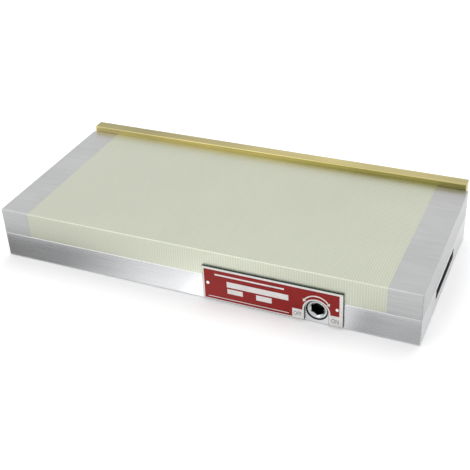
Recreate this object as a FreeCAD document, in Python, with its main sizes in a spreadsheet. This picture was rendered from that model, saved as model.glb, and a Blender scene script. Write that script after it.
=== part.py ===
"""Permanent magnetic chuck with a fine-pole top plate, 350 x 150 mm.

A steel tub holds a magnet core that slides half a pole pitch under fixed pole bars. Turning
the eccentric shaft by half a turn moves the core: with its irons under the gaps the field is
short-circuited (OFF), with its irons under the pole bars the field reaches the work (ON).

Frame: origin at the middle of the base's underside, +X along the chuck towards the shaft's end,
-Y towards the front with the shaft and the nameplate, +Z up through the work face.
The model stands in the OFF position. All sizes are in millimetres.
"""
import FreeCAD, Part
import os
import re
import Sketcher
from FreeCAD import Vector

SIZES = {
    # the two halves of the body
    "chuck_length": 350, "chuck_width": 150, "base_height": 23, "plate_height": 22,
    "edge_break": 0.5,
    # laminated top plate: steel blades between brass blades, closed by two solid end blocks
    "end_block_least": 25.5, "steel_blade": 1.5, "brass_blade": 0.5,
    # tub of the base, with a slot in each end for the clamps of the machine table
    "end_wall": 26, "side_wall": 16, "floor_thickness": 6, "cavity_corner": 4,
    "clamp_slot_length": 60, "clamp_slot_height": 9, "clamp_slot_depth": 12,
    "clamp_slot_bottom": 9,
    # M6 cap screws that pull the top plate onto the base from below
    "base_screw": 6, "base_screw_head": 10, "base_screw_head_height": 6, "base_screw_key": 5,
    "base_screw_length": 25, "base_screw_sunk": 0.5, "base_screw_hole": 6.6,
    "base_screw_counterbore": 11, "end_screw_inset": 17, "plate_tap_depth": 10,
    # fixed pole bars under the plate, a brass spacer between each two
    "pole_bar_height": 5.6, "pole_bar_width": 8, "pole_bar_overhang": 2,
    # sliding magnet core
    "magnet_thick": 6, "iron_thick": 6, "core_rail": 5, "core_end_least": 9,
    "core_end_gap": 1, "air_gap": 0.3, "running_gap": 0.1,
    "slide_strip_height": 1, "slide_strip_width": 8, "slide_strip_edge": 9,
    "slide_strip_inset": 9, "shoe_length": 20, "shoe_gap": 0.3, "shoe_screw_inset": 6.6,
    # M4 cap screws inside the core
    "core_screw": 4, "core_screw_head": 7, "core_screw_head_height": 4, "core_screw_key": 3,
    "core_screw_sunk": 0.3, "core_screw_counterbore": 7.4, "shoe_screw_length": 16,
    "yoke_screw_length": 8, "core_tap_depth": 12,
    # eccentric shaft, its socket, seal and stop
    "shaft_from_end": 77.3, "shaft_up": 12, "shaft_radius": 8, "shaft_clearance": 0.03,
    "shaft_sunk": 0.6, "shaft_reach": 2, "shaft_chamfer": 0.5, "recess_rim": 0.7,
    "recess_depth": 2, "socket_flats": 10, "socket_depth": 7, "socket_mouth": 1.2,
    "seal_section": 1.4, "seal_groove": 1.8, "seal_setback": 1.9,
    "stop_setback": 5.6, "stop_groove_width": 3.6, "stop_groove_depth": 2.2,
    "stop_screw": 5, "stop_dog": 3.4, "stop_gap": 0.15, "stop_sunk": 0.6, "stop_key": 2.5,
    "stop_key_depth": 1.6,
    "pin_radius": 4, "pin_length": 5.7, "pin_play": 0.7,
    "yoke_width": 30, "yoke_thick": 7.7, "yoke_gap": 0.3, "yoke_web": 2, "yoke_screw_spread": 20,
    # nameplate on the front face, notched round the shaft
    "nameplate_left": 91.5, "nameplate_right": 20.5, "nameplate_height": 30,
    "nameplate_thick": 1.5, "nameplate_bottom": 2, "notch_radius": 9.4,
    "rivet_shank": 2, "rivet_length": 5, "rivet_head": 2.6, "rivet_head_height": 0.7,
    "rivet_inset": 4.5, "rivet_up": 15.5,
    # brass back rail, which slides up on its screws to stand proud of the work face
    "rail_end_inset": 2, "rail_thick": 10, "rail_height": 20, "rail_proud": 5,
    "rail_travel": 5, "rail_edge": 0.4, "rail_screw_up": 6, "rail_slot_gap": 0.3,
    "rail_screw": 5, "rail_screw_head": 8.5, "rail_screw_head_height": 5,
    "rail_screw_key": 4, "rail_screw_length": 20, "rail_tap_depth": 12,
    "washer_outside": 10, "washer_thick": 1, "washer_clearance": 0.15,
}

doc = FreeCAD.newDocument("magnetic_chuck")
sheet = doc.addObject("Spreadsheet::Sheet", "sizes")
for row, (size_name, value) in enumerate(SIZES.items(), 1):
    sheet.set(f"A{row}", size_name)
    sheet.set(f"B{row}", str(value))
    sheet.setAlias(f"B{row}", size_name)
doc.recompute()

# Sizes that follow from those above, as formulas.
BLADE_PITCH = "(steel_blade + brass_blade)"
STEEL_BLADES = (
    f"floor((chuck_length - 2 * end_block_least - brass_blade) / {BLADE_PITCH})"
)
LAMINATED = f"({STEEL_BLADES} * {BLADE_PITCH} + brass_blade)"
END_BLOCK = f"((chuck_length - {LAMINATED}) / 2)"
WORK_FACE = "(base_height + plate_height)"
FRONT = "(chuck_width / 2)"
WALL_INSIDE = "(chuck_width / 2 - side_wall)"
CAVITY_END = "(chuck_length / 2 - end_wall)"

POLE_PITCH = "(magnet_thick + iron_thick)"
ECCENTRICITY = f"({POLE_PITCH} / 4)"
CORE_HALF = f"({CAVITY_END} - {ECCENTRICITY} - core_end_gap)"
IRONS = f"(2 * floor(({CORE_HALF} - core_end_least - iron_thick / 2) / {POLE_PITCH}) + 1)"
IRON_ROW_HALF = f"(({IRONS} - 1) / 2 * {POLE_PITCH} + iron_thick / 2)"
CORE_END = f"({CORE_HALF} - {IRON_ROW_HALF})"
CORE_BOTTOM = "(floor_thickness + slide_strip_height + running_gap)"
CORE_HEIGHT = f"(base_height - pole_bar_height - air_gap - {CORE_BOTTOM})"
CORE_MIDDLE = f"({CORE_BOTTOM} + {CORE_HEIGHT} / 2)"
SHOE_FACE = f"({WALL_INSIDE} - shoe_gap)"
SHOE_CORNER = "(cavity_corner * 0.7)"
SHOE_SCREW_AT = f"({CORE_HALF} - shoe_screw_inset)"
SHAFT_END = f"({WALL_INSIDE} - shaft_reach)"
YOKE_FACE = f"({SHAFT_END} - yoke_gap)"
CORE_SIDE = f"({YOKE_FACE} - yoke_thick)"
CORE_WIDTH = f"(2 * ({CORE_SIDE} - core_rail))"
POLE_BAR_LENGTH = f"({CORE_WIDTH} + 2 * pole_bar_overhang)"
SHAFT_ACROSS = "(chuck_length / 2 - shaft_from_end)"

SIDE_SCREW_PITCH = f"({LAMINATED} / 3.5)"
END_SCREW_AT = "(chuck_length / 2 - end_wall / 2)"
END_SCREW_SIDE = f"({FRONT} - end_screw_inset)"
RAIL_BOTTOM = f"({WORK_FACE} + rail_proud - rail_height)"
RAIL_SCREW_AT = f"({RAIL_BOTTOM} + rail_screw_up)"
RAIL_BACK = f"({FRONT} + rail_thick)"
RAIL_LENGTH = "(chuck_length - 2 * rail_end_inset)"

# One quarter of the base screws; the other three quarters are mirror images.
BASE_SCREW_SPOTS = [
    (f"{SIDE_SCREW_PITCH} / 2", f"{FRONT} - side_wall / 2"),
    (f"{SIDE_SCREW_PITCH} * 3 / 2", f"{FRONT} - side_wall / 2"),
    (END_SCREW_AT, END_SCREW_SIDE),
]
RAIL_SCREW_SPOTS = [(f"{END_SCREW_AT} / 3", RAIL_SCREW_AT), (END_SCREW_AT, RAIL_SCREW_AT)]


def formula(text):
    """Point each size name in a formula at its cell in the sheet."""
    return re.sub(r"[a-z_]+", lambda word: "sizes." * (word[0] in SIZES) + word[0], text)


def bind(thing, attribute, text):
    """Bind an attribute of an object to a formula."""
    thing.setExpression(attribute, formula(text))


def four_ways(spots):
    """List the spots with their mirror images to the left and to the front."""
    return [(f"{side}({x})", f"{end}({y})") for x, y in spots for side in ("", "-")
            for end in ("", "-")]


def new_body(label, x="0", y="0", z="0"):
    """Start a sub-part whose frame lies at x, y, z."""
    body = doc.addObject("PartDesign::Body", label)
    body.Label = label
    body.AllowCompound = True
    for axis, place in (("x", x), ("y", y), ("z", z)):
        bind(body, f".Placement.Base.{axis}", place)
    return body


def origin_feature(body, role):
    """Find one of the body's own origin planes or axes."""
    return next(item for item in body.Origin.OriginFeatures if item.Role == role)


def sketch_on(body, role, height="0"):
    """Add a sketch on an origin plane, raised along its normal (+Z on XY, -Y on XZ, +X on YZ)."""
    sketch = body.newObject("Sketcher::SketchObject", f"{body.Name}_sketch")
    sketch.AttachmentSupport = [(origin_feature(body, role), "")]
    sketch.MapMode = "FlatFace"
    bind(sketch, ".AttachmentOffset.Base.z", height)
    return sketch


def fix_point(sketch, edge, point, x, y):
    """Fix a point of the sketch by formulas for its two coordinates."""
    for kind, place in (("DistanceX", x), ("DistanceY", y)):
        index = sketch.addConstraint(Sketcher.Constraint(kind, -1, 1, edge, point, 1.0))
        bind(sketch, f"Constraints[{index}]", place)


def outline(sketch, corners):
    """Draw a closed straight-sided outline through corners given as pairs of formulas."""
    first = sketch.GeometryCount
    count = len(corners)
    spread = [Vector(k % 3, k // 3 + k % 2, 0) for k in range(count)]
    for k in range(count):
        sketch.addGeometry(Part.LineSegment(spread[k], spread[(k + 1) % count]), False)
    for k, (x, y) in enumerate(corners):
        following = first + (k + 1) % count
        sketch.addConstraint(Sketcher.Constraint("Coincident", first + k, 2, following, 1))
        fix_point(sketch, first + k, 1, x, y)


def rectangle(sketch, x, y, width, height):
    """Draw a rectangle round the point x, y."""
    left, right = f"({x}) - ({width}) / 2", f"({x}) + ({width}) / 2"
    low, high = f"({y}) - ({height}) / 2", f"({y}) + ({height}) / 2"
    outline(sketch, [(left, low), (right, low), (right, high), (left, high)])


def hexagon(sketch, x, y, across_flats):
    """Draw a hexagon with a corner straight up."""
    corners = [
        (f"({x}) + {across_flats} / sqrt(3) * cos({angle}deg)",
         f"({y}) + {across_flats} / sqrt(3) * sin({angle}deg)")
        for angle in range(30, 390, 60)
    ]
    outline(sketch, corners)


def circle(sketch, x, y, diameter):
    """Draw a circle round the point x, y."""
    edge = sketch.addGeometry(Part.Circle(Vector(0, 0, 0), Vector(0, 0, 1), 1.0), False)
    fix_point(sketch, edge, 3, x, y)
    index = sketch.addConstraint(Sketcher.Constraint("Diameter", edge, 2.0))
    bind(sketch, f"Constraints[{index}]", diameter)


def add_feature(body, kind, sketch, size, amount, back=False):
    """Add a sketched feature, check that it changed the solid the right way, and return it."""
    before = body.Tip.Shape.Volume if body.Tip else 0.0
    feature = body.newObject(f"PartDesign::{kind}", f"{body.Name}_{kind.lower()}")
    feature.Profile = sketch
    bind(feature, size, amount)
    feature.Reversed = back
    doc.recompute()
    grows = kind in ("Pad", "Revolution")
    if (feature.Shape.Volume > before) != grows:
        raise RuntimeError(f"{feature.Name} did nothing to {body.Label}")
    return feature


def pad(body, sketch, length, back=False):
    """Pad a sketch along its plane's normal, or the other way."""
    return add_feature(body, "Pad", sketch, "Length", length, back)


def pocket(body, sketch, depth, back=False):
    """Cut a sketch against its plane's normal, or the other way."""
    return add_feature(body, "Pocket", sketch, "Length", depth, back)


def turn(body, kind, sketch, angle="360"):
    """Turn a sketch on the XY plane about the body's Y axis, half of the angle to each side."""
    before = body.Tip.Shape.Volume if body.Tip else 0.0
    feature = body.newObject(f"PartDesign::{kind}", f"{body.Name}_{kind.lower()}")
    feature.Profile = sketch
    feature.ReferenceAxis = (origin_feature(body, "Y_Axis"), [""])
    feature.Midplane = True
    bind(feature, "Angle", angle)
    doc.recompute()
    if (feature.Shape.Volume > before) != (kind == "Revolution"):
        raise RuntimeError(f"{feature.Name} did nothing to {body.Label}")
    return feature


def mirror(body, *roles):
    """Add the mirror images of the body's solids in each of its origin planes in turn."""
    for role in roles:
        feature = body.newObject("PartDesign::Mirrored", f"{body.Name}_mirror")
        feature.TransformMode = "Whole shape"
        feature.MirrorPlane = (origin_feature(body, role), [""])
        body.Tip = feature
        doc.recompute()


def repeat(body, feature, pitch, count):
    """Repeat a feature along X, count times."""
    pattern = body.newObject("PartDesign::LinearPattern", f"{body.Name}_pattern")
    pattern.Originals = [feature]
    pattern.Direction = (origin_feature(body, "X_Axis"), [""])
    pattern.Mode = "Spacing"
    bind(pattern, "Offset", pitch)
    bind(pattern, "Occurrences", count)
    body.Tip = pattern
    doc.recompute()


def dress(body, kind, size, chosen):
    """Chamfer or fillet the edges of the body for which chosen(edge) is true."""
    base = body.Tip
    names = [f"Edge{n}" for n, edge in enumerate(base.Shape.Edges, 1) if chosen(edge)]
    feature = body.newObject(f"PartDesign::{kind}", f"{body.Name}_{kind.lower()}")
    feature.Base = (base, names)
    bind(feature, "Size" if kind == "Chamfer" else "Radius", size)
    doc.recompute()


def upright(edge):
    """Tell whether an edge runs along Z."""
    return edge.BoundBox.ZLength > 10 * (edge.BoundBox.XLength + edge.BoundBox.YLength)


def cap_screws(label, role, head_face, spots, name, length, along, mirrors, x="0"):
    """Make hexagon socket cap screws whose sizes in the sheet start with name.

    head_face is the height of the heads' outer faces along the normal of the plane, and the
    screws point along that normal or against it. length is that of the shank.
    """
    step = "+" if along else "-"
    body = new_body(label, x=x)
    heads = sketch_on(body, role, head_face)
    shanks = sketch_on(body, role, f"{head_face} {step} {name}_head_height")
    keys = sketch_on(body, role, head_face)
    for across, up in spots:
        circle(heads, across, up, f"{name}_head")
        circle(shanks, across, up, name)
        hexagon(keys, across, up, f"{name}_key")
    pad(body, heads, f"{name}_head_height", back=not along)
    pad(body, shanks, length, back=not along)
    pocket(body, keys, f"{name}_head_height / 2", back=along)
    mirror(body, *mirrors)
    return body


def make_base():
    """Steel tub: cavity, clamp slots in the ends, shaft bore in the front, screw holes below."""
    body = new_body("base")
    block = sketch_on(body, "XY_Plane")
    rectangle(block, "0", "0", "chuck_length", "chuck_width")
    pad(body, block, "base_height")
    dress(body, "Chamfer", "edge_break", lambda edge: True)

    cavity = sketch_on(body, "XY_Plane", "base_height")
    rectangle(cavity, "0", "0", f"2 * {CAVITY_END}", f"2 * {WALL_INSIDE}")
    pocket(body, cavity, "base_height - floor_thickness")
    outside = sheet.get("chuck_length") / 2 - 2 * sheet.get("edge_break")
    dress(body, "Fillet", "cavity_corner",
          lambda edge: upright(edge) and abs(edge.CenterOfMass.x) < outside)

    for end, back in (("chuck_length / 2", False), ("-chuck_length / 2", True)):
        slot = sketch_on(body, "YZ_Plane", end)
        rectangle(slot, "0", "clamp_slot_bottom + clamp_slot_height / 2",
                  "clamp_slot_length", "clamp_slot_height")
        pocket(body, slot, "clamp_slot_depth", back)

    counterbores = sketch_on(body, "XY_Plane")
    holes = sketch_on(body, "XY_Plane")
    for x, y in four_ways(BASE_SCREW_SPOTS):
        circle(counterbores, x, y, "base_screw_counterbore")
        circle(holes, x, y, "base_screw_hole")
    pocket(body, counterbores, "base_screw_sunk + base_screw_head_height", back=True)
    pocket(body, holes, "base_height", back=True)
    return body


def drill_front(body):
    """Bore the front wall of the base for the shaft, its stop screw and the plate's rivets.

    The shaft reaches lower than the floor of the tub, so its bore runs on into the floor.
    """
    bore = sketch_on(body, "XZ_Plane", FRONT)
    circle(bore, SHAFT_ACROSS, "shaft_up", "2 * (shaft_radius + shaft_clearance)")
    pocket(body, bore, "side_wall + shaft_reach + yoke_gap")
    recess = sketch_on(body, "XZ_Plane", FRONT)
    circle(recess, SHAFT_ACROSS, "shaft_up", "2 * (shaft_radius + recess_rim)")
    pocket(body, recess, "recess_depth")
    stop = sketch_on(body, "XY_Plane")
    circle(stop, SHAFT_ACROSS, f"-({WALL_INSIDE} + stop_setback)", "stop_screw")
    pocket(body, stop, "shaft_up", back=True)
    rivets = sketch_on(body, "XZ_Plane", FRONT)
    for x in RIVETS_ACROSS:
        circle(rivets, x, RIVETS_UP, "rivet_shank")
    pocket(body, rivets, "rivet_length")


def make_end_block(label, side):
    """Solid steel block that closes one end of the top plate."""
    body = new_body(label)
    block = sketch_on(body, "XY_Plane", "base_height")
    rectangle(block, f"{side} * (chuck_length - {END_BLOCK}) / 2", "0", END_BLOCK, "chuck_width")
    pad(body, block, "plate_height")
    top = sheet.get("base_height") + sheet.get("plate_height")
    outer = sheet.get("chuck_length") / 2
    joint = next(face for face in body.Tip.Shape.Faces
                 if face.BoundBox.XLength < 1e-6 and abs(face.CenterOfMass.x) < outer - 1)
    inner = abs(joint.CenterOfMass.x)
    dress(body, "Chamfer", "edge_break",
          lambda edge: (upright(edge) or edge.CenterOfMass.z > top - 1e-6)
          and abs(edge.CenterOfMass.x) > inner + 1e-6)
    for y in (END_SCREW_SIDE, f"-{END_SCREW_SIDE}"):
        tap = sketch_on(body, "XY_Plane", "base_height")
        circle(tap, f"{side} * {END_SCREW_AT}", y, "base_screw")
        pocket(body, tap, "plate_tap_depth", back=True)
    tap = sketch_on(body, "XZ_Plane", f"-{FRONT}")
    circle(tap, f"{side} * {END_SCREW_AT}", RAIL_SCREW_AT, "rail_screw")
    pocket(body, tap, "rail_tap_depth", back=True)


def make_blades(label, thick, start, count):
    """Upright blades of the laminated plate, tapped for the base screws and the rail screws.

    Only their front edge is broken: the rail stands against the back.
    """
    body = new_body(label)
    blade = sketch_on(body, "YZ_Plane", start)
    outline(blade, [
        (f"-{FRONT}", "base_height"),
        (FRONT, "base_height"),
        (FRONT, WORK_FACE),
        (f"edge_break - {FRONT}", WORK_FACE),
        (f"-{FRONT}", f"{WORK_FACE} - edge_break"),
    ])
    first = pad(body, blade, thick)
    repeat(body, first, BLADE_PITCH, count)
    below = sketch_on(body, "XY_Plane", "base_height")
    for x, y in four_ways(BASE_SCREW_SPOTS[:2]):
        circle(below, x, y, "base_screw")
    pocket(body, below, "plate_tap_depth", back=True)
    behind = sketch_on(body, "XZ_Plane", f"-{FRONT}")
    for side_x in ("", "-"):
        circle(behind, f"{side_x}({RAIL_SCREW_SPOTS[0][0]})", RAIL_SCREW_AT, "rail_screw")
    pocket(body, behind, "rail_tap_depth", back=True)


def make_bar_row(label, width, length, low, height, start, count):
    """A row of bars across the chuck, one in each pole pitch."""
    body = new_body(label)
    bar = sketch_on(body, "XY_Plane", low)
    rectangle(bar, start, "0", width, length)
    first = pad(body, bar, height)
    repeat(body, first, POLE_PITCH, count)


def make_block(label, x, y, z, length, width, height):
    """A plain block centred on x, y with its underside at z, in the frame of the core."""
    body = new_body(label, x=f"-{ECCENTRICITY}")
    block = sketch_on(body, "XY_Plane", z)
    rectangle(block, x, y, length, width)
    pad(body, block, height)
    return body


def make_core():
    """Magnet core: irons and magnets in turn, framed by two rails and two end plates."""
    row_start = f"{IRON_ROW_HALF} - iron_thick / 2"
    make_bar_row("core_irons", "iron_thick", CORE_WIDTH, CORE_BOTTOM, CORE_HEIGHT,
                 f"-{ECCENTRICITY} - ({row_start})", IRONS)
    make_bar_row("core_magnets", "magnet_thick", CORE_WIDTH, CORE_BOTTOM, CORE_HEIGHT,
                 f"-{ECCENTRICITY} - ({row_start}) + {POLE_PITCH} / 2", f"{IRONS} - 1")
    for label, side in (("core_end_plate_left", -1), ("core_end_plate_right", 1)):
        body = make_block(label, f"{side} * ({CORE_HALF} - {CORE_END} / 2)", "0", CORE_BOTTOM,
                          CORE_END, CORE_WIDTH, CORE_HEIGHT)
        for face, back in ((f"{CORE_WIDTH} / 2", False), (f"-{CORE_WIDTH} / 2", True)):
            tap = sketch_on(body, "XZ_Plane", face)
            circle(tap, f"{side} * {SHOE_SCREW_AT}", CORE_MIDDLE, "core_screw")
            pocket(body, tap, "core_tap_depth", back)
    for label, side in (("core_rail_front", -1), ("core_rail_rear", 1)):
        body = make_block(label, "0", f"{side} * ({CORE_WIDTH} + core_rail) / 2", CORE_BOTTOM,
                          f"2 * {CORE_HALF}", "core_rail", CORE_HEIGHT)
        holes = sketch_on(body, "XZ_Plane", f"{-side} * {CORE_SIDE}")
        for end in (-1, 1):
            circle(holes, f"{end} * {SHOE_SCREW_AT}", CORE_MIDDLE, "core_screw")
            if side < 0:
                circle(holes, f"{SHAFT_ACROSS} + {end} * yoke_screw_spread / 2", CORE_MIDDLE,
                       "core_screw")
        pocket(body, holes, "core_rail", back=side > 0)


def make_guide_shoes():
    """Bronze shoes at the corners of the core, which run along the walls of the tub.

    Their outer corners are cut off to clear the round corners of the tub.
    """
    body = make_block("guide_shoes", f"{CORE_HALF} - shoe_length / 2",
                      f"({SHOE_FACE} + {CORE_SIDE}) / 2", CORE_BOTTOM,
                      "shoe_length", f"{SHOE_FACE} - {CORE_SIDE}", CORE_HEIGHT)
    far = max(edge.CenterOfMass.x + edge.CenterOfMass.y for edge in body.Tip.Shape.Edges
              if upright(edge))
    dress(body, "Chamfer", SHOE_CORNER,
          lambda edge: upright(edge) and edge.CenterOfMass.x + edge.CenterOfMass.y > far - 1e-6)
    hole = sketch_on(body, "XZ_Plane", f"-{SHOE_FACE}")
    circle(hole, SHOE_SCREW_AT, CORE_MIDDLE, "core_screw")
    pocket(body, hole, f"{SHOE_FACE} - {CORE_SIDE}", back=True)
    seat = sketch_on(body, "XZ_Plane", f"-{SHOE_FACE}")
    circle(seat, SHOE_SCREW_AT, CORE_MIDDLE, "core_screw_counterbore")
    pocket(body, seat, "core_screw_sunk + core_screw_head_height", back=True)
    mirror(body, "YZ_Plane", "XZ_Plane")
    cap_screws("shoe_screws", "XZ_Plane", f"core_screw_sunk - {SHOE_FACE}",
               [(SHOE_SCREW_AT, CORE_MIDDLE)], "core_screw", "shoe_screw_length", True,
               ("YZ_Plane", "XZ_Plane"), x=f"-{ECCENTRICITY}")


def make_yoke():
    """Steel yoke on the core's front rail; the shaft's pin works in its upright groove."""
    body = make_block("cam_yoke", SHAFT_ACROSS, f"-({YOKE_FACE} + {CORE_SIDE}) / 2",
                      CORE_BOTTOM, "yoke_width", f"{YOKE_FACE} - {CORE_SIDE}", CORE_HEIGHT)
    groove = sketch_on(body, "XZ_Plane", YOKE_FACE)
    rectangle(groove, SHAFT_ACROSS, CORE_MIDDLE, "2 * (pin_radius + pin_play)",
              f"2 * {CORE_HEIGHT}")
    pocket(body, groove, f"{YOKE_FACE} - {CORE_SIDE} - yoke_web")
    spots = [(f"{SHAFT_ACROSS} + {side} * yoke_screw_spread / 2", CORE_MIDDLE) for side in (-1, 1)]
    holes = sketch_on(body, "XZ_Plane", YOKE_FACE)
    seats = sketch_on(body, "XZ_Plane", YOKE_FACE)
    for x, up in spots:
        circle(holes, x, up, "core_screw")
        circle(seats, x, up, "core_screw_counterbore")
    pocket(body, holes, f"{YOKE_FACE} - {CORE_SIDE}")
    pocket(body, seats, "core_screw_sunk + core_screw_head_height")
    cap_screws("yoke_screws", "XZ_Plane", f"{YOKE_FACE} - core_screw_sunk", spots,
               "core_screw", "yoke_screw_length", False, (), x=f"-{ECCENTRICITY}")


def make_shaft():
    """Eccentric shaft: hexagon socket in front, stop groove, seal groove, pin behind."""
    body = new_body("cam_shaft", x=SHAFT_ACROSS, z="shaft_up")
    nose = f"({FRONT} - shaft_sunk)"
    journal = sketch_on(body, "XZ_Plane", nose)
    circle(journal, "0", "0", "2 * shaft_radius")
    pad(body, journal, f"{nose} - {SHAFT_END}", back=True)
    front = sheet.get("shaft_sunk") - sheet.get("chuck_width") / 2
    dress(body, "Chamfer", "shaft_chamfer",
          lambda edge: edge.Closed and edge.CenterOfMass.y < front + 1e-3)
    pin = sketch_on(body, "XZ_Plane", SHAFT_END)
    circle(pin, f"-{ECCENTRICITY}", "0", "2 * pin_radius")
    pad(body, pin, "pin_length", back=True)
    socket = sketch_on(body, "XZ_Plane", nose)
    hexagon(socket, "0", "0", "socket_flats")
    pocket(body, socket, "socket_depth")
    mouth = sketch_on(body, "XY_Plane")
    corner = "(socket_flats / sqrt(3))"
    outline(mouth, [
        ("0", f"-{nose}"),
        (f"{corner} + socket_mouth / 2", f"-{nose}"),
        (f"{corner} - socket_mouth / 2", f"socket_mouth - {nose}"),
        ("0", f"socket_mouth - {nose}"),
    ])
    turn(body, "Groove", mouth)
    seal_at = f"({WALL_INSIDE} + seal_setback)"
    seal = sketch_on(body, "XY_Plane")
    rectangle(seal, "shaft_radius", f"-{seal_at}", "2 * seal_section", "seal_groove")
    turn(body, "Groove", seal)
    stop = sketch_on(body, "XY_Plane")
    rectangle(stop, "shaft_radius", f"-({WALL_INSIDE} + stop_setback)",
              "2 * stop_groove_depth", "stop_groove_width")
    turn(body, "Groove", stop,
         "180deg + 2 * asin((stop_dog / 2 + stop_gap) / (shaft_radius - stop_groove_depth))")

    ring = new_body("shaft_seal", x=SHAFT_ACROSS, z="shaft_up")
    section = sketch_on(ring, "XY_Plane")
    rectangle(section, "shaft_radius - seal_section / 2", f"-{seal_at}", "seal_section",
              "seal_section")
    turn(ring, "Revolution", section)


def make_stop_screw():
    """Dog-point set screw: holds the shaft in and stops it at both ends of its half turn."""
    body = new_body("stop_screw", x=SHAFT_ACROSS, y=f"-({WALL_INSIDE} + stop_setback)")
    thread = sketch_on(body, "XY_Plane", "stop_sunk")
    circle(thread, "0", "0", "stop_screw")
    pad(body, thread, "shaft_up - shaft_radius - stop_gap - stop_sunk")
    dog = sketch_on(body, "XY_Plane", "stop_sunk")
    circle(dog, "0", "0", "stop_dog")
    pad(body, dog, "shaft_up - shaft_radius + stop_groove_depth - 2 * stop_gap - stop_sunk")
    key = sketch_on(body, "XY_Plane", "stop_sunk")
    hexagon(key, "0", "0", "stop_key")
    pocket(body, key, "stop_key_depth", back=True)


def make_slide_strips():
    """Two bronze strips on the floor of the tub that carry the core."""
    body = new_body("slide_strips")
    strips = sketch_on(body, "XY_Plane", "floor_thickness")
    for side in (-1, 1):
        rectangle(strips, "0", f"{side} * ({CORE_WIDTH} / 2 - slide_strip_edge)",
                  f"2 * ({CAVITY_END} - slide_strip_inset)", "slide_strip_width")
    pad(body, strips, "slide_strip_height")


NAMEPLATE_WIDTH = "(nameplate_left + nameplate_right)"
NAMEPLATE_MIDDLE = f"({SHAFT_ACROSS} + (nameplate_right - nameplate_left) / 2)"
RIVETS_ACROSS = [f"{NAMEPLATE_MIDDLE} + {side} * ({NAMEPLATE_WIDTH} / 2 - rivet_inset)"
                 for side in (-1, 1)]
RIVETS_UP = "(nameplate_bottom + rivet_up)"


def make_nameplate():
    """Nameplate, notched from below round the shaft, and its two drive rivets."""
    body = new_body("nameplate")
    plate = sketch_on(body, "XZ_Plane", FRONT)
    rectangle(plate, NAMEPLATE_MIDDLE, "nameplate_bottom + nameplate_height / 2",
              NAMEPLATE_WIDTH, "nameplate_height")
    pad(body, plate, "nameplate_thick")
    face = f"({FRONT} + nameplate_thick)"
    arch = sketch_on(body, "XZ_Plane", face)
    circle(arch, SHAFT_ACROSS, "shaft_up", "2 * notch_radius")
    pocket(body, arch, "nameplate_thick")
    legs = sketch_on(body, "XZ_Plane", face)
    rectangle(legs, SHAFT_ACROSS, "0", "2 * notch_radius", "2 * shaft_up")
    pocket(body, legs, "nameplate_thick")
    holes = sketch_on(body, "XZ_Plane", face)
    for x in RIVETS_ACROSS:
        circle(holes, x, RIVETS_UP, "rivet_shank")
    pocket(body, holes, "nameplate_thick")

    rivets = new_body("nameplate_rivets")
    heads = sketch_on(rivets, "XZ_Plane", face)
    shanks = sketch_on(rivets, "XZ_Plane", face)
    for x in RIVETS_ACROSS:
        circle(heads, x, RIVETS_UP, "rivet_head")
        circle(shanks, x, RIVETS_UP, "rivet_shank")
    pad(rivets, heads, "rivet_head_height")
    front = -sheet.get("chuck_width") / 2 - sheet.get("nameplate_thick")
    dress(rivets, "Chamfer", "rivet_head_height / 2",
          lambda edge: edge.Closed and edge.CenterOfMass.y < front - 1e-3)
    pad(rivets, shanks, "nameplate_thick + rivet_length", back=True)


def make_back_rail():
    """Brass rail behind the plate, slotted so that it slides up and down, with its fasteners."""
    body = new_body("back_rail")
    bar = sketch_on(body, "XY_Plane", RAIL_BOTTOM)
    rectangle(bar, "0", f"{FRONT} + rail_thick / 2", RAIL_LENGTH, "rail_thick")
    pad(body, bar, "rail_height")
    dress(body, "Chamfer", "rail_edge", lambda edge: True)
    low_ends, high_ends, middles = (
        sketch_on(body, "XZ_Plane", f"-{RAIL_BACK}") for _ in range(3))
    slot_width = "(rail_screw + 2 * rail_slot_gap)"
    washers = new_body("back_rail_washers")
    rings = sketch_on(washers, "XZ_Plane", f"-{RAIL_BACK}")
    for x, up in RAIL_SCREW_SPOTS:
        for side in ("", "-"):
            circle(low_ends, f"{side}({x})", up, slot_width)
            circle(high_ends, f"{side}({x})", f"{up} + rail_travel", slot_width)
            rectangle(middles, f"{side}({x})", f"{up} + rail_travel / 2", slot_width,
                      "rail_travel")
        circle(rings, x, up, "washer_outside")
        circle(rings, x, up, "rail_screw + 2 * washer_clearance")
    for sketch in (low_ends, high_ends, middles):
        pocket(body, sketch, "rail_thick", back=True)
    pad(washers, rings, "washer_thick", back=True)
    mirror(washers, "YZ_Plane")
    cap_screws("back_rail_screws", "XZ_Plane",
               f"-({RAIL_BACK} + washer_thick + rail_screw_head_height)", RAIL_SCREW_SPOTS,
               "rail_screw", "rail_screw_length", True, ("YZ_Plane",))


drill_front(make_base())
make_end_block("end_block_left", -1)
make_end_block("end_block_right", 1)
make_blades("steel_laminations", "steel_blade", f"brass_blade - {LAMINATED} / 2", STEEL_BLADES)
make_blades("brass_laminations", "brass_blade", f"-{LAMINATED} / 2", f"{STEEL_BLADES} + 1")
make_bar_row("pole_bars", "pole_bar_width", POLE_BAR_LENGTH, "base_height - pole_bar_height",
             "pole_bar_height", f"{ECCENTRICITY} + iron_thick / 2 - {IRON_ROW_HALF}", IRONS)
make_bar_row("pole_spacers", f"{POLE_PITCH} - pole_bar_width", POLE_BAR_LENGTH,
             "base_height - pole_bar_height", "pole_bar_height",
             f"{ECCENTRICITY} + (iron_thick + {POLE_PITCH}) / 2 - {IRON_ROW_HALF}",
             f"{IRONS} - 1")
cap_screws("base_screws", "XY_Plane", "base_screw_sunk", BASE_SCREW_SPOTS, "base_screw",
           "base_screw_length", True, ("YZ_Plane", "XZ_Plane"))
make_slide_strips()
make_core()
make_guide_shoes()
make_yoke()
make_shaft()
make_stop_screw()
make_nameplate()
make_back_rail()

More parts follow.
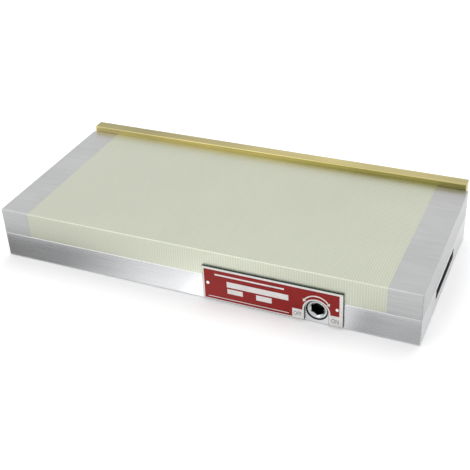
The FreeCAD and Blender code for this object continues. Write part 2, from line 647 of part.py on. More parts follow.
doc.recompute()
for item in doc.Objects:
    if "Invalid" in item.State or "Error" in item.State:
        raise RuntimeError(f"{item.Name} failed: {item.State}")
bodies = [item for item in doc.Objects if item.TypeId == "PartDesign::Body"]
for body in bodies:
    if body.Shape.isNull() or not body.Shape.isValid():
        raise RuntimeError(f"{body.Label} has no valid shape")
os.makedirs("parts", exist_ok=True)
for body in bodies:
    body.Shape.exportStep(f"parts/{body.Label}.step")
    print(f"{body.Label}: {len(body.Shape.Solids)} solids, {body.Shape.Volume:.1f} mm3")
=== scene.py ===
import math

import bpy
import numpy as np
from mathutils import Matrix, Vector


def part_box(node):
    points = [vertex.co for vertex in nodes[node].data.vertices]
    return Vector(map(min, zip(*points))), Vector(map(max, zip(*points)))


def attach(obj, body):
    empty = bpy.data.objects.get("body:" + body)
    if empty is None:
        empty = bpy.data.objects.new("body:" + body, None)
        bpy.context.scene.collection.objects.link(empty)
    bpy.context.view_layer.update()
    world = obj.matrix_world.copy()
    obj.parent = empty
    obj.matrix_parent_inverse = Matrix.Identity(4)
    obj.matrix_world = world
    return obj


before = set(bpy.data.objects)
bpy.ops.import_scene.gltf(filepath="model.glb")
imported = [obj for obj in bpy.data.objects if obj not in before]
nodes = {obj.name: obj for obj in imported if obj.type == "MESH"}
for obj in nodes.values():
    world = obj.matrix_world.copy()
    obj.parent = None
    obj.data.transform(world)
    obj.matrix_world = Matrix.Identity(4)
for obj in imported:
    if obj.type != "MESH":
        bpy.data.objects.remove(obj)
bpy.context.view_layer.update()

# ---------------------------------------------------------------- camera
# A camera at the height of someone who stands at the bench, to the right of
# the chuck's middle, so that the front, the work face and the right end show.

camera_data = bpy.data.cameras.new("bench_camera")
camera_data.sensor_width = 36.0
camera_data.lens = 70.62
camera = bpy.data.objects.new("bench_camera", camera_data)
camera.location = (0.27196, -0.58544, 0.42802)
camera.rotation_euler = [math.radians(turn) for turn in (57.105, 2.592, 23.246)]
bpy.context.scene.collection.objects.link(camera)
bpy.context.scene.camera = camera
bpy.context.scene.view_settings.view_transform = "Standard"

# ---------------------------------------------------------------- bench and light
# The chuck stands on a white table top under one wide soft lamp from behind, with
# a weaker one at the left in front. The table keeps a soft shadow.


def mesh_from_grid(name, grid):
    """A surface from a grid of points of shape (rows, columns, 3).
    Face (i, j) joins points (i, j), (i, j+1), (i+1, j+1) and (i+1, j)."""
    rows, columns = grid.shape[:2]
    index = np.arange(rows * columns).reshape(rows, columns)
    faces = np.stack([index[:-1, :-1], index[:-1, 1:], index[1:, 1:], index[1:, :-1]], -1)
    mesh = bpy.data.meshes.new(name)
    mesh.from_pydata(grid.reshape(-1, 3).tolist(), [], faces.reshape(-1, 4).tolist())
    return mesh


def show(name, mesh, *materials):
    """Puts a mesh into the scene at the origin with its materials."""
    piece = bpy.data.objects.new(name, mesh)
    bpy.context.scene.collection.objects.link(piece)
    for material in materials:
        mesh.materials.append(material)
    return piece


def level_sheet(name, x_range, y_range, height, steps, material):
    """A level rectangle: point (i, j) is (x_j, y_i, height), evenly spaced."""
    x, y = np.meshgrid(np.linspace(*x_range, steps), np.linspace(*y_range, steps))
    grid = np.stack([x, y, np.full_like(x, height)], -1)
    return show(name, mesh_from_grid(name, grid), material)


TABLE_WHITE = (0.86, 0.86, 0.865, 1.0)
TABLE_LIFT = 0.25
TABLE_REACH = (-6, 6)

table_paint = bpy.data.materials.new("table_white")
table_paint.use_nodes = True
paint = table_paint.node_tree
paint.nodes.clear()
matt = paint.nodes.new("ShaderNodeBsdfDiffuse")
matt.inputs["Color"].default_value = TABLE_WHITE
glow = paint.nodes.new("ShaderNodeEmission")
glow.inputs["Color"].default_value = (1.0, 1.0, 1.0, 1.0)
path = paint.nodes.new("ShaderNodeLightPath")
seen = paint.nodes.new("ShaderNodeMath")
seen.operation = "MAXIMUM"
lift = paint.nodes.new("ShaderNodeMath")
lift.operation = "MULTIPLY"
lift.inputs[1].default_value = TABLE_LIFT
both = paint.nodes.new("ShaderNodeAddShader")
surface = paint.nodes.new("ShaderNodeOutputMaterial")
paint.links.new(path.outputs["Is Camera Ray"], seen.inputs[0])
paint.links.new(path.outputs["Is Glossy Ray"], seen.inputs[1])
paint.links.new(seen.outputs[0], lift.inputs[0])
paint.links.new(lift.outputs[0], glow.inputs["Strength"])
paint.links.new(matt.outputs[0], both.inputs[0])
paint.links.new(glow.outputs[0], both.inputs[1])
paint.links.new(both.outputs[0], surface.inputs["Surface"])
table_top = level_sheet("table_top", TABLE_REACH, TABLE_REACH, 0.0, 3, table_paint)

world = bpy.data.worlds.new("studio_air")
world.use_nodes = True
bpy.context.scene.world = world
air = world.node_tree
background = air.nodes["Background"]
WORLD_LIGHT = 0.62
seen_air = air.nodes.new("ShaderNodeLightPath")
either = air.nodes.new("ShaderNodeMath")
either.operation = "MAXIMUM"
level = air.nodes.new("ShaderNodeMapRange")
level.inputs["To Min"].default_value = WORLD_LIGHT
level.inputs["To Max"].default_value = 1.0
air.links.new(seen_air.outputs["Is Camera Ray"], either.inputs[0])
air.links.new(seen_air.outputs["Is Glossy Ray"], either.inputs[1])
air.links.new(either.outputs[0], level.inputs["Value"])
air.links.new(level.outputs[0], background.inputs["Strength"])
background.inputs["Color"].default_value = (1.0, 1.0, 1.0, 1.0)


def soft_lamp(name, place, size, watts, mirrored):
    """A square lamp at place that faces the chuck. Where mirrored is False, polished
    faces don't show it."""
    lamp_data = bpy.data.lights.new(name, "AREA")
    lamp_data.shape = "SQUARE"
    lamp_data.size = size
    lamp_data.energy = watts
    lamp = bpy.data.objects.new(name, lamp_data)
    lamp.location = place
    lamp.rotation_euler = Vector(place).to_track_quat("Z", "Y").to_euler()
    lamp.visible_glossy = mirrored
    bpy.context.scene.collection.objects.link(lamp)


soft_lamp("back_lamp", (0.05, 0.7, 1.4), 1.4, 13.0, False)
soft_lamp("edge_lamp", (-0.55, -0.85, 1.20), 0.9, 3.5, True)


# A long card lies on the table before the chuck and glows, a light that only the
# polished front shows in its mirror: dark at the left, bright in the middle, grey at the
# right, as in a studio with flags at both sides. Its tones paint the reflection on the front.

CARD_HALF_LENGTH, CARD_DEPTH, CARD_GAP, CARD_HEIGHT = 0.30, 0.030, 0.001, 0.0004
CARD_TONES = (
    (-0.190, 0.34), (-0.160, 0.37), (-0.135, 0.42), (-0.100, 0.68), (-0.060, 1.12), (-0.020, 1.55),
    (0.000, 1.90), (0.040, 1.50), (0.080, 0.85), (0.110, 1.10), (0.132, 0.62), (0.152, 0.66), (0.180, 0.60),
)

glowing_card = bpy.data.materials.new("glowing_card")
glowing_card.use_nodes = True
card_glow = glowing_card.node_tree
card_glow.nodes.clear()
place = card_glow.nodes.new("ShaderNodeTexCoord")
along = card_glow.nodes.new("ShaderNodeSeparateXYZ")
tone_at = card_glow.nodes.new("ShaderNodeMapRange")
tone_at.inputs["From Min"].default_value = CARD_TONES[0][0]
tone_at.inputs["From Max"].default_value = CARD_TONES[-1][0]
tones = card_glow.nodes.new("ShaderNodeFloatCurve")
curve = tones.mapping.curves[0]
BRIGHTEST = max(tone for _, tone in CARD_TONES)
span = CARD_TONES[-1][0] - CARD_TONES[0][0]
for number, (x, tone) in enumerate(CARD_TONES):
    spot = ((x - CARD_TONES[0][0]) / span, tone / BRIGHTEST)
    if number in (0, len(CARD_TONES) - 1):
        curve.points[0 if number == 0 else len(curve.points) - 1].location = spot
    else:
        curve.points.new(*spot)
tones.mapping.update()
shine = card_glow.nodes.new("ShaderNodeEmission")
brightness = card_glow.nodes.new("ShaderNodeMath")
brightness.operation = "MULTIPLY"
brightness.inputs[1].default_value = BRIGHTEST
sheet_out = card_glow.nodes.new("ShaderNodeOutputMaterial")
card_glow.links.new(place.outputs["Object"], along.inputs[0])
card_glow.links.new(along.outputs["X"], tone_at.inputs["Value"])
card_glow.links.new(tone_at.outputs[0], tones.inputs["Value"])
card_glow.links.new(tones.outputs[0], brightness.inputs[0])
card_glow.links.new(brightness.outputs[0], shine.inputs["Strength"])
card_glow.links.new(shine.outputs[0], sheet_out.inputs["Surface"])
front_of_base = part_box("base")[0].y
card_reach = (front_of_base - CARD_DEPTH, front_of_base - CARD_GAP)
front_card = level_sheet(
    "front_card", (-CARD_HALF_LENGTH, CARD_HALF_LENGTH), card_reach, CARD_HEIGHT, 3, glowing_card
)
front_card.visible_camera = False
front_card.visible_diffuse = False
front_card.visible_shadow = False
front_card.visible_transmission = False

# ---------------------------------------------------------------- base
# One block of mild steel, 350 x 150 x 23, milled hollow from above for the magnet
# core and ground bright on every outside face. A slot in each end takes the nose
# of a table clamp; its walls are left as milled, and are painted near black as the
# shade deep in the slot. The walls of the recess round the key shaft are painted
# near black as shade too.


def new_group(name, inputs, outputs):
    """A shader node group with its sockets, and its own input and output nodes."""
    group = bpy.data.node_groups.new(name, "ShaderNodeTree")
    for label, kind, value in inputs:
        socket = group.interface.new_socket(label, in_out="INPUT", socket_type=kind)
        socket.default_value = value
    for label, kind in outputs:
        group.interface.new_socket(label, in_out="OUTPUT", socket_type=kind)
    return group, group.nodes.new("NodeGroupInput"), group.nodes.new("NodeGroupOutput")


def tool_marks():
    """Scratches: noise at the object's coordinates times Stretch, so a small number
    on an axis draws them out along it. Clouds: broad noise, the same every way."""
    group, given, result = new_group(
        "tool_marks",
        [("Stretch", "NodeSocketVector", (20.0, 2000.0, 2000.0)), ("Cloud Scale", "NodeSocketFloat", 14.0)],
        [("Scratches", "NodeSocketFloat"), ("Clouds", "NodeSocketFloat")],
    )
    where = group.nodes.new("ShaderNodeTexCoord")
    drawn = group.nodes.new("ShaderNodeVectorMath")
    drawn.operation = "MULTIPLY"
    scratches = group.nodes.new("ShaderNodeTexNoise")
    scratches.inputs["Scale"].default_value = 1.0
    scratches.inputs["Detail"].default_value = 3.0
    clouds = group.nodes.new("ShaderNodeTexNoise")
    clouds.inputs["Detail"].default_value = 2.0
    group.links.new(where.outputs["Object"], drawn.inputs[0])
    group.links.new(given.outputs["Stretch"], drawn.inputs[1])
    group.links.new(drawn.outputs[0], scratches.inputs["Vector"])
    group.links.new(where.outputs["Object"], clouds.inputs["Vector"])
    group.links.new(given.outputs["Cloud Scale"], clouds.inputs["Scale"])
    group.links.new(scratches.outputs["Fac"], result.inputs["Scratches"])
    group.links.new(clouds.outputs["Fac"], result.inputs["Clouds"])
    return group


TOOL_MARKS = tool_marks()


def ranged(tree, value, low, high, from_low=0.3, from_high=0.7):
    """A value from from_low to from_high, spread over low to high."""
    node = tree.nodes.new("ShaderNodeMapRange")
    ends = {"From Min": from_low, "From Max": from_high, "To Min": low, "To Max": high}
    for label, number in ends.items():
        node.inputs[label].default_value = number
    tree.links.new(value, node.inputs["Value"])
    return node.outputs["Result"]


def blended(tree, factor, first, second, mode="MIX"):
    """Two colours mixed by factor; each is a plain colour or a socket."""
    node = tree.nodes.new("ShaderNodeMix")
    node.data_type = "RGBA"
    node.blend_type = mode
    for socket, colour in ((node.inputs[6], first), (node.inputs[7], second)):
        if isinstance(colour, bpy.types.NodeSocket):
            tree.links.new(colour, socket)
        else:
            socket.default_value = (*colour, 1.0)
    if isinstance(factor, bpy.types.NodeSocket):
        tree.links.new(factor, node.inputs[0])
    else:
        node.inputs[0].default_value = factor
    return node.outputs[2]


def machined_metal(
    name, shade, stretch, roughness, spread=0.12, clouds=0.10, cloud_scale=14.0, relief=0.05
):
    """A bare metal with tool marks. Colour is shade, less up to spread in the scratches
    and up to clouds in the broad patches; roughness is a pair, low to high."""
    material = bpy.data.materials.new(name)
    material.use_nodes = True
    tree = material.node_tree
    metal = tree.nodes["Principled BSDF"]
    metal.inputs["Metallic"].default_value = 1.0
    marks = tree.nodes.new("ShaderNodeGroup")
    marks.node_tree = TOOL_MARKS
    marks.inputs["Stretch"].default_value = stretch
    marks.inputs["Cloud Scale"].default_value = cloud_scale
    scratched = ranged(tree, marks.outputs["Scratches"], spread, 0.0)
    cloudy = ranged(tree, marks.outputs["Clouds"], clouds, 0.0)
    dark = (0.0, 0.0, 0.0)
    colour = blended(tree, cloudy, blended(tree, scratched, shade, dark), dark)
    tree.links.new(colour, metal.inputs["Base Color"])
    tree.links.new(ranged(tree, marks.outputs["Scratches"], *roughness), metal.inputs["Roughness"])
    bump = tree.nodes.new("ShaderNodeBump")
    bump.inputs["Strength"].default_value = relief
    bump.inputs["Distance"].default_value = 0.0001
    tree.links.new(marks.outputs["Scratches"], bump.inputs["Height"])
    tree.links.new(bump.outputs["Normal"], metal.inputs["Normal"])
    return material, tree, metal


def finish_nodes(material, slot_name, *names):
    """The CAD pieces with these names get this material."""
    for name in names:
        piece = nodes[name]
        piece.data.materials.clear()
        piece.data.materials.append(material)


def colour_into(metal):
    """The socket that feeds the metal's base colour."""
    return metal.inputs["Base Color"].links[0].from_socket


base_low, base_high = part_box("base")
SLOT_HALF_WIDTH = 0.0305
SLOT_LOW, SLOT_HIGH = 0.0088, 0.0182
SLOT_SHALLOW, SLOT_DEEP = 0.0005, 0.0040
SHAFT_RADIUS, RECESS_RADIUS, BORE_DEPTH = 0.0080, 0.0087, 0.0120
SOFT_SIDE, SOFT_TOP, SOFT_RIM, SOFT_BORE = 0.0005, 0.0003, 0.0002, 0.0010
# Near black painted into the end slots' walls and the shaft recess as shade.
PAINTED_SHADE_BLACK = (0.05, 0.05, 0.052)
BASE_SHADE = (0.66, 0.665, 0.675)
base_steel, tree, metal = machined_metal("base_steel", BASE_SHADE, (18.0, 2600.0, 2600.0), (0.22, 0.32))
where = tree.nodes.new("ShaderNodeTexCoord")
axes = tree.nodes.new("ShaderNodeSeparateXYZ")
tree.links.new(where.outputs["Object"], axes.inputs[0])


def distance_from(tree, value, middle):
    """How far a value lies from middle, either way."""
    less = tree.nodes.new("ShaderNodeMath")
    less.operation = "SUBTRACT"
    less.inputs[1].default_value = middle
    size = tree.nodes.new("ShaderNodeMath")
    size.operation = "ABSOLUTE"
    tree.links.new(value, less.inputs[0])
    tree.links.new(less.outputs[0], size.inputs[0])
    return size.outputs[0]


def times(tree, first, second):
    """The product of two masks."""
    node = tree.nodes.new("ShaderNodeMath")
    node.operation = "MULTIPLY"
    tree.links.new(first, node.inputs[0])
    tree.links.new(second, node.inputs[1])
    return node.outputs[0]


# Painted shade: the walls of each end slot, from just inside the end face, are painted near black.
from_middle = distance_from(tree, axes.outputs["X"], 0.0)
inwards = ranged(tree, from_middle, 0.0, 1.0, base_high.x - SLOT_SHALLOW, base_high.x - SLOT_DEEP)
from_centre = distance_from(tree, axes.outputs["Y"], 0.0)
in_width = ranged(tree, from_centre, 1.0, 0.0, SLOT_HALF_WIDTH, SLOT_HALF_WIDTH + SOFT_SIDE)
slot_middle = (SLOT_LOW + SLOT_HIGH) / 2
slot_half = (SLOT_HIGH - SLOT_LOW) / 2
from_slot = distance_from(tree, axes.outputs["Z"], slot_middle)
in_height = ranged(tree, from_slot, 1.0, 0.0, slot_half, slot_half + SOFT_TOP)
slot_painted_shade = times(tree, times(tree, inwards, in_width), in_height)

shaft_low, shaft_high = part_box("cam_shaft")
shaft_x = shaft_high.x - SHAFT_RADIUS
shaft_z = (shaft_low.z + shaft_high.z) / 2


def reach_round_shaft(tree, where):
    """How far a point lies from the key shaft's axis, which runs along Y."""
    centred = tree.nodes.new("ShaderNodeMapping")
    centred.inputs["Location"].default_value = (-shaft_x, 0.0, -shaft_z)
    flat = tree.nodes.new("ShaderNodeVectorMath")
    flat.operation = "MULTIPLY"
    flat.inputs[1].default_value = (1.0, 0.0, 1.0)
    reach = tree.nodes.new("ShaderNodeVectorMath")
    reach.operation = "LENGTH"
    tree.links.new(where, centred.inputs["Vector"])
    tree.links.new(centred.outputs[0], flat.inputs[0])
    tree.links.new(flat.outputs[0], reach.inputs[0])
    return reach.outputs["Value"]


# Painted shade: the walls of the recess round the key shaft, between the front face and the cavity, are
# painted near black.
reach = reach_round_shaft(tree, where.outputs["Object"])
round_shaft = ranged(tree, reach, 1.0, 0.0, RECESS_RADIUS, RECESS_RADIUS + SOFT_RIM)
face, depth = base_low.y, axes.outputs["Y"]
behind_face = ranged(tree, depth, 0.0, 1.0, face + SOFT_RIM, face + SOFT_SIDE)
before_cavity = ranged(tree, depth, 1.0, 0.0, face + BORE_DEPTH, face + BORE_DEPTH + SOFT_BORE)
in_recess = times(tree, behind_face, before_cavity)
bore_painted_shade = times(tree, round_shaft, in_recess)
colour = blended(tree, slot_painted_shade, colour_into(metal), PAINTED_SHADE_BLACK)
tree.links.new(blended(tree, bore_painted_shade, colour, PAINTED_SHADE_BLACK), metal.inputs["Base Color"])
finish_nodes(base_steel, "base_steel", "base")

# ---------------------------------------------------------------- magnet core
# Soft iron bars and black ferrite magnets in turn, gripped by brass rails and end
# plates. The core slides on two bronze strips, led by four bronze shoes.

core_iron, _, _ = machined_metal("core_iron", (0.42, 0.42, 0.43), (2600.0, 18.0, 2600.0), (0.35, 0.5))
finish_nodes(core_iron, "core_iron", "core_irons", "pole_bars", "cam_yoke")

core_brass, _, _ = machined_metal("core_brass", (0.66, 0.50, 0.20), (22.0, 1500.0, 1500.0), (0.3, 0.45))
finish_nodes(
    core_brass, "core_brass", "core_end_plate_left", "core_end_plate_right",
    "core_rail_front", "core_rail_rear", "pole_spacers",
)

bronze, _, _ = machined_metal(
    "bronze", (0.55, 0.34, 0.16), (30.0, 900.0, 900.0), (0.35, 0.5), clouds=0.25, cloud_scale=60.0
)
finish_nodes(bronze, "bronze", "slide_strips", "guide_shoes")


def dull_solid(name, light, dark, grain_scale, roughness, relief):
    """A dull material without metal: fine grain between two shades."""
    material = bpy.data.materials.new(name)
    material.use_nodes = True
    tree = material.node_tree
    body = tree.nodes["Principled BSDF"]
    where = tree.nodes.new("ShaderNodeTexCoord")
    grain = tree.nodes.new("ShaderNodeTexNoise")
    grain.inputs["Scale"].default_value = grain_scale
    grain.inputs["Detail"].default_value = 4.0
    tree.links.new(where.outputs["Object"], grain.inputs["Vector"])
    shade = blended(tree, ranged(tree, grain.outputs["Fac"], 0.0, 1.0), dark, light)
    tree.links.new(shade, body.inputs["Base Color"])
    tree.links.new(ranged(tree, grain.outputs["Fac"], *roughness), body.inputs["Roughness"])
    bump = tree.nodes.new("ShaderNodeBump")
    bump.inputs["Strength"].default_value = relief
    bump.inputs["Distance"].default_value = 0.0001
    tree.links.new(grain.outputs["Fac"], bump.inputs["Height"])
    tree.links.new(bump.outputs["Normal"], body.inputs["Normal"])
    return material, tree, body


ferrite, _, _ = dull_solid("ferrite", (0.03, 0.03, 0.033), (0.012, 0.012, 0.013), 1400.0, (0.55, 0.8), 0.3)
finish_nodes(ferrite, "magnet_ferrite", "core_magnets")

# ---------------------------------------------------------------- top plate
# Blades of 1.5 mm steel and 0.5 mm brass, soldered side by side between two solid
# steel blocks and then ground as one, top and sides. Thin oil tints the blades.

GROUND_ACROSS = (900.0, 60.0, 900.0)
BLADE_ROUGHNESS = (0.40, 0.48)
OILED_METAL = 0.85

blade_steel, _, metal = machined_metal(
    "blade_steel", (0.59, 0.62, 0.56), GROUND_ACROSS, BLADE_ROUGHNESS,
    spread=0.05, clouds=0.05, cloud_scale=9.0, relief=0.02,
)
metal.inputs["Metallic"].default_value = OILED_METAL
finish_nodes(blade_steel, "blade_steel", "steel_laminations")

blade_brass, _, metal = machined_metal(
    "blade_brass", (0.72, 0.715, 0.46), GROUND_ACROSS, BLADE_ROUGHNESS,
    spread=0.05, clouds=0.05, cloud_scale=9.0, relief=0.02,
)
metal.inputs["Metallic"].default_value = OILED_METAL
finish_nodes(blade_brass, "blade_brass", "brass_laminations")

end_steel, _, metal = machined_metal(
    "end_steel", (0.58, 0.585, 0.587), (30.0, 1700.0, 1700.0), (0.30, 0.42),
    spread=0.18, clouds=0.08, cloud_scale=24.0,
)
metal.inputs["Metallic"].default_value = OILED_METAL
finish_nodes(end_steel, "end_block_steel", "end_block_left", "end_block_right")

# ---------------------------------------------------------------- screws
# Socket head screws of hardened steel, blackened. Most come from below or behind.

black_steel, _, _ = machined_metal(
    "black_steel", (0.10, 0.10, 0.108), (700.0, 700.0, 700.0), (0.38, 0.55),
    spread=0.3, clouds=0.3, cloud_scale=160.0,
)
finish_nodes(
    black_steel, "screw_steel", "base_screws", "shoe_screws", "yoke_screws",
    "stop_screw", "back_rail_screws",
)

# ---------------------------------------------------------------- key shaft
# A turned steel shaft, 16 mm across, with a broached hexagon for the 10 mm key.
# The broached hole is painted black from a little way in from its mouth, as the shade deep in it. A rubber
# ring seals it.

HOLE_RIM = (0.0058, 0.0064)
SHADE_STARTS, SHADE_FULL = 0.0014, 0.0026
SOCKET_SHADE_BLACK = (0.03, 0.03, 0.032)

shaft_steel, tree, metal = machined_metal(
    "shaft_steel", (0.62, 0.63, 0.64), (900.0, 90.0, 900.0), (0.2, 0.32),
    spread=0.12, clouds=0.08, cloud_scale=90.0,
)
where = tree.nodes.new("ShaderNodeTexCoord")
depth = tree.nodes.new("ShaderNodeSeparateXYZ")
tree.links.new(where.outputs["Object"], depth.inputs[0])
reach = reach_round_shaft(tree, where.outputs["Object"])
# Painted shade: inside the hexagon hole, a little way in from its mouth, the steel is painted black.
in_hole = ranged(tree, reach, 1.0, 0.0, *HOLE_RIM)
below_face = ranged(
    tree, depth.outputs["Y"], 0.0, 1.0, shaft_low.y + SHADE_STARTS, shaft_low.y + SHADE_FULL
)
socket_painted_shade = times(tree, in_hole, below_face)
colour = blended(tree, socket_painted_shade, colour_into(metal), SOCKET_SHADE_BLACK)
tree.links.new(colour, metal.inputs["Base Color"])
finish_nodes(shaft_steel, "shaft_steel", "cam_shaft")

rubber, _, _ = dull_solid("rubber", (0.022, 0.022, 0.022), (0.012, 0.012, 0.012), 900.0, (0.6, 0.75), 0.15)
finish_nodes(rubber, "seal_rubber", "shaft_seal")

# ---------------------------------------------------------------- nameplate
# A plate of 1.5 mm aluminium, dyed dark green right through its skin, with white and
# red enamel filled into the etched face. It is cut out round the key shaft.

plate_low, plate_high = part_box("nameplate")
plate_face = plate_low.y
plate_left, plate_right = plate_low.x, plate_high.x
plate_bottom, plate_top = plate_low.z, plate_high.z
ENAMEL = 0.00004
NOTCH_RADIUS = 0.0094
ARCH_RADIUS = 0.0108


def prism(name, outline, back, front, material):
    """A flat shape with thickness: an outline in X and Z, anticlockwise from the front,
    carried straight along Y. Grid row 0 is the outline at back, row 1 at front."""
    outline = np.asarray(outline, float)
    count = len(outline)
    grid = np.empty((2, count, 3))
    grid[:, :, 0] = outline[:, 0]
    grid[:, :, 2] = outline[:, 1]
    grid[:, :, 1] = np.array([back, front])[:, None]
    ring = np.arange(count)
    after = np.roll(ring, -1)
    sides = np.stack([ring, after, after + count, ring + count], -1).tolist()
    mesh = bpy.data.meshes.new(name)
    ends = [ring[::-1].tolist(), (ring + count).tolist()]
    mesh.from_pydata(grid.reshape(-1, 3).tolist(), [], sides + ends)
    return show(name, mesh, material)


def arc(radius, start, stop, steps=32):
    """Points round the key shaft's middle, from start to stop in degrees."""
    turn = np.radians(np.linspace(start, stop, steps))
    return np.stack([shaft_x + radius * np.cos(turn), shaft_z + radius * np.sin(turn)], -1)


def join_outline(*runs):
    """One outline from runs of points."""
    return np.concatenate([np.atleast_2d(np.asarray(run, float)) for run in runs])


CLOUD_SHADE = 0.86


def enamel(name, colour, roughness):
    """Baked enamel: a clear even colour with slight clouds and a soft gloss."""
    darker = tuple(CLOUD_SHADE * part for part in colour)
    material, _, body = dull_solid(name, colour, darker, 120.0, roughness, 0.03)
    body.inputs["Specular IOR Level"].default_value = 0.2
    return material


green_skin = enamel("green_skin", (0.022, 0.050, 0.036), (0.35, 0.5))
finish_nodes(green_skin, "plate_print", "nameplate")
white_enamel = enamel("white_enamel", (0.95, 0.93, 0.91), (0.35, 0.45))
red_enamel = enamel("red_enamel", (0.320, 0.012, 0.010), (0.35, 0.45))
letter_enamel = enamel("letter_enamel", (0.20, 0.23, 0.21), (0.4, 0.5))

RIM = 0.0002
white_face = join_outline(
    (plate_left + RIM, plate_bottom + RIM),
    (shaft_x - NOTCH_RADIUS - RIM, plate_bottom + RIM),
    arc(NOTCH_RADIUS + RIM, 180.0, 0.0),
    (shaft_x + NOTCH_RADIUS + RIM, plate_bottom + RIM),
    (plate_right - RIM, plate_bottom + RIM),
    (plate_right - RIM, plate_top - RIM),
    (plate_left + RIM, plate_top - RIM),
)
white_layer = prism("nameplate_white", white_face, plate_face, plate_face - ENAMEL, white_enamel)

LEFT_BORDER, RIGHT_BORDER, FOOT_BORDER, TOP_BORDER = 0.0015, 0.0029, 0.0011, 0.0020
OFF_LEFT, OFF_TOP = shaft_x - 0.0188, 0.0109
ON_TOP = 0.0114
red_left, red_right = plate_left + LEFT_BORDER, plate_right - RIGHT_BORDER
red_foot, red_top = plate_bottom + FOOT_BORDER, plate_top - TOP_BORDER
off_side = 180.0 - math.degrees(math.asin((OFF_TOP - shaft_z) / ARCH_RADIUS))
on_side = math.degrees(math.asin((ON_TOP - shaft_z) / ARCH_RADIUS))
red_face = join_outline(
    (red_left, red_foot),
    (OFF_LEFT, red_foot),
    (OFF_LEFT, OFF_TOP),
    arc(ARCH_RADIUS, off_side, on_side),
    (red_right, ON_TOP),
    (red_right, red_top),
    (red_left, red_top),
)
red_layer = prism("nameplate_red", red_face, plate_face - ENAMEL, plate_face - 2 * ENAMEL, red_enamel)

print_back, print_front = plate_face - 2 * ENAMEL, plate_face - 3 * ENAMEL


def box_outline(left, right, low, high):
    """A rectangle's four corners, anticlockwise from the front."""
    return [(left, low), (right, low), (right, high), (left, high)]


# Blank fields for the owner to stamp, and plain rules where a maker's words would be.
FIELDS = {
    "field_long": (0.0202, 0.0698, 0.0166, 0.0216),
    "field_left": (0.0205, 0.0331, 0.0107, 0.0151),
    "field_right": (0.0440, 0.0565, 0.0103, 0.0151),
    "rule_title": (0.0105, 0.0665, 0.0254, 0.0268),
    "rule_foot": (0.0045, 0.0700, 0.0050, 0.0056),
}
print_pieces = [white_layer, red_layer]
for name, (left, right, low, high) in FIELDS.items():
    outline = box_outline(plate_left + left, plate_left + right, low, high)
    print_pieces.append(prism("nameplate_" + name, outline, print_back, print_front, white_enamel))

ARROW_RADIUS, ARROW_HALF, ARROW_RISE = 0.0110, 0.0005, 0.0027
ARROW_LEFT, ARROW_RIGHT = 146.0, 34.0
HEAD_TURN, HEAD_HALF = 12.0, 0.0016
arrow = join_outline(
    arc(ARROW_RADIUS + ARROW_HALF, ARROW_RIGHT, ARROW_LEFT),
    arc(ARROW_RADIUS + HEAD_HALF, ARROW_LEFT, ARROW_LEFT, 1),
    arc(ARROW_RADIUS, ARROW_LEFT + HEAD_TURN, ARROW_LEFT + HEAD_TURN, 1),
    arc(ARROW_RADIUS - HEAD_HALF, ARROW_LEFT, ARROW_LEFT, 1),
    arc(ARROW_RADIUS - ARROW_HALF, ARROW_LEFT, ARROW_RIGHT),
    arc(ARROW_RADIUS - HEAD_HALF, ARROW_RIGHT, ARROW_RIGHT, 1),
    arc(ARROW_RADIUS, ARROW_RIGHT - HEAD_TURN, ARROW_RIGHT - HEAD_TURN, 1),
    arc(ARROW_RADIUS + HEAD_HALF, ARROW_RIGHT, ARROW_RIGHT, 1),
) + (0.0, ARROW_RISE)
print_pieces.append(prism("nameplate_arrow", arrow, print_back, print_front, white_enamel))


def letters(name, word, left, right, low, high, material):
    """A word set in X and Z inside a box, as thick as the print: the font's flat
    outline is carried along its own axis, then stretched to the box."""
    font = bpy.data.curves.new(name, "FONT")
    font.body = word
    font.extrude = 0.1
    font.resolution_u = 4
    setting = bpy.data.objects.new(name + "_setting", font)
    bpy.context.scene.collection.objects.link(setting)
    bpy.context.view_layer.update()
    mesh = bpy.data.meshes.new_from_object(setting.evaluated_get(bpy.context.evaluated_depsgraph_get()))
    bpy.data.objects.remove(setting)
    points = np.empty(len(mesh.vertices) * 3)
    mesh.vertices.foreach_get("co", points)
    points = points.reshape(-1, 3)
    share = (points - points.min(0)) / np.ptp(points, 0)
    across = left + share[:, 0] * (right - left)
    outwards = plate_face - ENAMEL - share[:, 2] * ENAMEL
    upwards = low + share[:, 1] * (high - low)
    placed = np.stack([across, outwards, upwards], -1)
    mesh.vertices.foreach_set("co", placed.ravel())
    mesh.update()
    mesh.materials.clear()
    return show(name, mesh, material)


ON_LEFT = shaft_x + ARCH_RADIUS
LETTERS_LOW = 0.0048
WORDS = (
    ("nameplate_off", "OFF", OFF_LEFT + 0.0010, OFF_LEFT + 0.0072, 0.0084),
    ("nameplate_on", "ON", ON_LEFT + 0.0009, ON_LEFT + 0.0063, 0.0086),
)
for name, word, left, right, high in WORDS:
    print_pieces.append(letters(name, word, left, right, LETTERS_LOW, high, letter_enamel))
for piece in print_pieces:
    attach(piece, "chuck_body")

rivet_metal, _, _ = machined_metal(
    "rivet_metal", (0.86, 0.84, 0.80), (1200.0, 1200.0, 1200.0), (0.3, 0.45),
    spread=0.08, clouds=0.06, cloud_scale=300.0,
)
finish_nodes(rivet_metal, "rivet_metal", "nameplate_rivets")
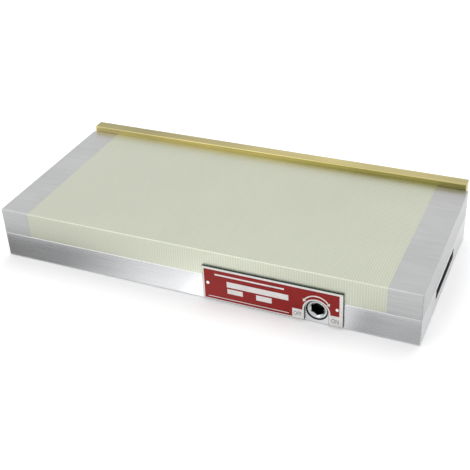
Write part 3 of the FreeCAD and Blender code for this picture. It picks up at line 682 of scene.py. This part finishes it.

# ---------------------------------------------------------------- back rail
# A brass bar, 346 x 10 x 20, drawn and then brushed lengthwise, bolted behind the
# work face as a stop. Its four slots let it slide down flush. Light is painted into
# its colour: shade on the front face, darker towards the right, and on the top a
# darker left end and a highlight a little right of the middle.

rail_brass, tree, metal = machined_metal(
    "rail_brass", (0.78, 0.67, 0.30), (9.0, 1500.0, 1500.0), (0.24, 0.42),
    spread=0.3, clouds=0.16, cloud_scale=16.0, relief=0.12,
)
RAIL_SKIN, RAIL_SKIN_SOFT = 0.0002, 0.0004
rail_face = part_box("back_rail")[0].y


def shades_along(tree, value, stops):
    """Colours spread along a value: stops are (value, colour), evenly blended between."""
    start, end = stops[0][0], stops[-1][0]
    shades = tree.nodes.new("ShaderNodeValToRGB")
    for number, (place, colour) in enumerate(stops):
        if number in (0, len(stops) - 1):
            element = shades.color_ramp.elements[0 if number == 0 else -1]
        else:
            element = shades.color_ramp.elements.new((place - start) / (end - start))
        element.color = (*colour, 1.0)
    tree.links.new(ranged(tree, value, 0.0, 1.0, start, end), shades.inputs["Fac"])
    return shades.outputs["Color"]


# Painted light: the front face darkens towards the right as painted shade; the top is darker at the left
# and carries a painted highlight near X 0.085.
FRONT_PAINTED_SHADE = (
    (-0.175, (1.00, 1.00, 1.00)), (-0.060, (0.98, 0.94, 0.84)),
    (0.050, (0.74, 0.74, 0.58)), (0.175, (0.55, 0.58, 0.42)),
)
TOP_PAINTED_LIGHT = (
    (-0.175, (0.60, 0.62, 0.64)), (-0.050, (0.76, 0.77, 0.80)),
    (0.085, (1.00, 1.00, 1.00)), (0.175, (0.86, 0.88, 0.92)),
)
where = tree.nodes.new("ShaderNodeTexCoord")
axes = tree.nodes.new("ShaderNodeSeparateXYZ")
tree.links.new(where.outputs["Object"], axes.inputs[0])
on_front = ranged(tree, axes.outputs["Y"], 1.0, 0.0, rail_face + RAIL_SKIN, rail_face + RAIL_SKIN_SOFT)
front_painted_shade = shades_along(tree, axes.outputs["X"], FRONT_PAINTED_SHADE)
top_painted_light = shades_along(tree, axes.outputs["X"], TOP_PAINTED_LIGHT)
rail_painted_light = blended(tree, on_front, top_painted_light, front_painted_shade)
tree.links.new(blended(tree, 1.0, colour_into(metal), rail_painted_light, "MULTIPLY"), metal.inputs["Base Color"])
finish_nodes(rail_brass, "rail_brass", "back_rail")

bright_zinc, _, _ = machined_metal(
    "bright_zinc", (0.62, 0.63, 0.65), (500.0, 500.0, 500.0), (0.3, 0.5),
    spread=0.15, clouds=0.15, cloud_scale=220.0,
)
finish_nodes(bright_zinc, "washer_steel", "back_rail_washers")
